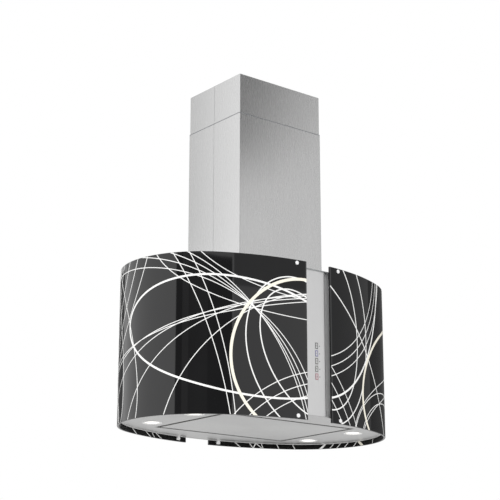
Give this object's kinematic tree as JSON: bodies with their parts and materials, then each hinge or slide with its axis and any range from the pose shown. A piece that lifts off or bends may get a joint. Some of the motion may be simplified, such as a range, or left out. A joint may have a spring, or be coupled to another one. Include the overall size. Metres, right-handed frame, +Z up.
{
  "type": "island range hood",
  "caption": "Island range hood: oval body of two curved black glass panels round a steel tray with perimeter suction, hung from the ceiling by a square telescoping flue.",
  "frame": {"origin": "centre of the top face of the ceiling bracket, which is the centre of its four bolts", "axes": "+Z up towards the ceiling, +X along the long axis of the oval body, -Y towards the control side"},
  "size_m": [0.85, 0.568, 1.029],
  "materials": {
    "brushed_tray": "fine straight grain",
    "brushed_flue": "fine vertical grain",
    "brushed_pillar": "fine vertical grain",
    "galvanised": "dull zinc coat with soft spangle",
    "channel_grey": "satin grey",
    "zinc_steel": "bright zinc plate",
    "black_glass": "gloss, opaque black from behind, with pale printed curves",
    "polished_cap": "polished",
    "key_steel": "satin with a tinted outline",
    "lamp_glass": "frosted, lit",
    "lamp_black": "black anodised",
    "filter_metal": "bright rolled frame",
    "filter_mesh": "layered expanded mesh",
    "black_plastic": "moulded, fine texture",
    "grey_plastic": "moulded, fine texture",
    "fan_wheel": "galvanised strip",
    "motor_metal": "cast and painted",
    "copper_stack": "enamelled winding and laminations",
    "ground_steel": "ground",
    "rubber_black": "moulded rubber",
    "board_green": "solder mask",
    "led_window": "clear light pipe",
    "bolt_black": "black oxide"
  },
  "bodies": {
    "root": {"ceiling_bracket": "galvanised", "upper_uprights": "galvanised", "lower_uprights": "galvanised", "cross_braces": "galvanised", "frame_bolts": "bolt_black", "upper_flue_front": "brushed_flue", "upper_flue_rear": "brushed_flue", "upper_flue_strips": "galvanised", "top_plate": "galvanised", "inner_casing": "galvanised", "tray": "brushed_tray", "hinge_arms": "zinc_steel", "panel_catches": "black_plastic", "filter_rails": "galvanised", "filter_frame_left": "filter_metal", "filter_frame_right": "filter_metal", "filter_meshes": "filter_mesh", "scroll_left": "black_plastic", "scroll_right": "black_plastic", "inlet_rings": "grey_plastic", "motor_bracket": "zinc_steel", "motor_can": "motor_metal", "motor_stator": "copper_stack", "motor_bearings": "ground_steel", "blower_mounts": "rubber_black", "outlet_collar": "black_plastic", "damper_rods": "ground_steel", "control_box": "galvanised", "control_box_lid": "galvanised", "main_board": "board_green", "mains_gland": "black_plastic", "lamp_cans": "lamp_black", "lamp_bezels": "polished_cap", "lamp_lenses": "lamp_glass", "front_pillar": "brushed_pillar", "front_channel": "channel_grey", "keypad_board": "board_green", "led_windows": "led_window", "rear_pillar": "brushed_pillar", "rear_channel": "channel_grey", "left_glass": "black_glass", "right_glass": "black_glass", "glass_caps": "polished_cap", "glass_nuts": "polished_cap"},
    "lower_flue": {"lower_flue_front": "brushed_flue", "lower_flue_rear": "brushed_flue", "lower_flue_strips": "galvanised"},
    "panel": {"suction_panel": "brushed_tray", "hinge_pins": "ground_steel"},
    "latch_left": {"filter_latch_left": "grey_plastic"},
    "latch_right": {"filter_latch_right": "grey_plastic"},
    "fan": {"motor_shaft": "ground_steel", "impeller": "fan_wheel"},
    "flap_front": {"damper_flap_front": "grey_plastic"},
    "flap_rear": {"damper_flap_rear": "grey_plastic"},
    "key_light": {"key_light": "key_steel"},
    "key_fan_down": {"key_fan_down": "key_steel"},
    "key_fan_up": {"key_fan_up": "key_steel"},
    "key_boost": {"key_boost": "key_steel"},
    "key_timer": {"key_timer": "key_steel"}
  },
  "joints": [
    {"name": "flue_slide", "type": "slide", "parent": "root", "child": "lower_flue", "axis": [0, 0, 1], "range_m": [0, 0.1]},
    {"name": "panel_hinge", "type": "hinge", "parent": "root", "child": "panel", "pos_m": [0, 0.149, -1.006], "axis": [1, 0, 0], "range_deg": [0, 80]},
    {"name": "latch_left_slide", "type": "slide", "parent": "root", "child": "latch_left", "axis": [0, 1, 0], "range_m": [0, 0.008], "stiffness_N_per_m": 300},
    {"name": "latch_right_slide", "type": "slide", "parent": "root", "child": "latch_right", "axis": [0, 1, 0], "range_m": [0, 0.008], "stiffness_N_per_m": 300},
    {"name": "fan_spin", "type": "hinge", "parent": "root", "child": "fan", "pos_m": [0, -0.034, -0.759], "axis": [1, 0, 0], "continuous": true},
    {"name": "flap_front_hinge", "type": "hinge", "parent": "root", "child": "flap_front", "pos_m": [0, -0.004, -0.589], "axis": [-1, 0, 0], "range_deg": [0, 80]},
    {"name": "flap_rear_hinge", "type": "hinge", "parent": "root", "child": "flap_rear", "pos_m": [0, 0.004, -0.589], "axis": [1, 0, 0], "range_deg": [0, 80]},
    {"name": "key_light_press", "type": "slide", "parent": "root", "child": "key_light", "axis": [0, 1, 0], "range_m": [0, 0.001], "stiffness_N_per_m": 250},
    {"name": "key_fan_down_press", "type": "slide", "parent": "root", "child": "key_fan_down", "axis": [0, 1, 0], "range_m": [0, 0.001], "stiffness_N_per_m": 250},
    {"name": "key_fan_up_press", "type": "slide", "parent": "root", "child": "key_fan_up", "axis": [0, 1, 0], "range_m": [0, 0.001], "stiffness_N_per_m": 250},
    {"name": "key_boost_press", "type": "slide", "parent": "root", "child": "key_boost", "axis": [0, 1, 0], "range_m": [0, 0.001], "stiffness_N_per_m": 250},
    {"name": "key_timer_press", "type": "slide", "parent": "root", "child": "key_timer", "axis": [0, 1, 0], "range_m": [0, 0.001], "stiffness_N_per_m": 250}
  ]
}
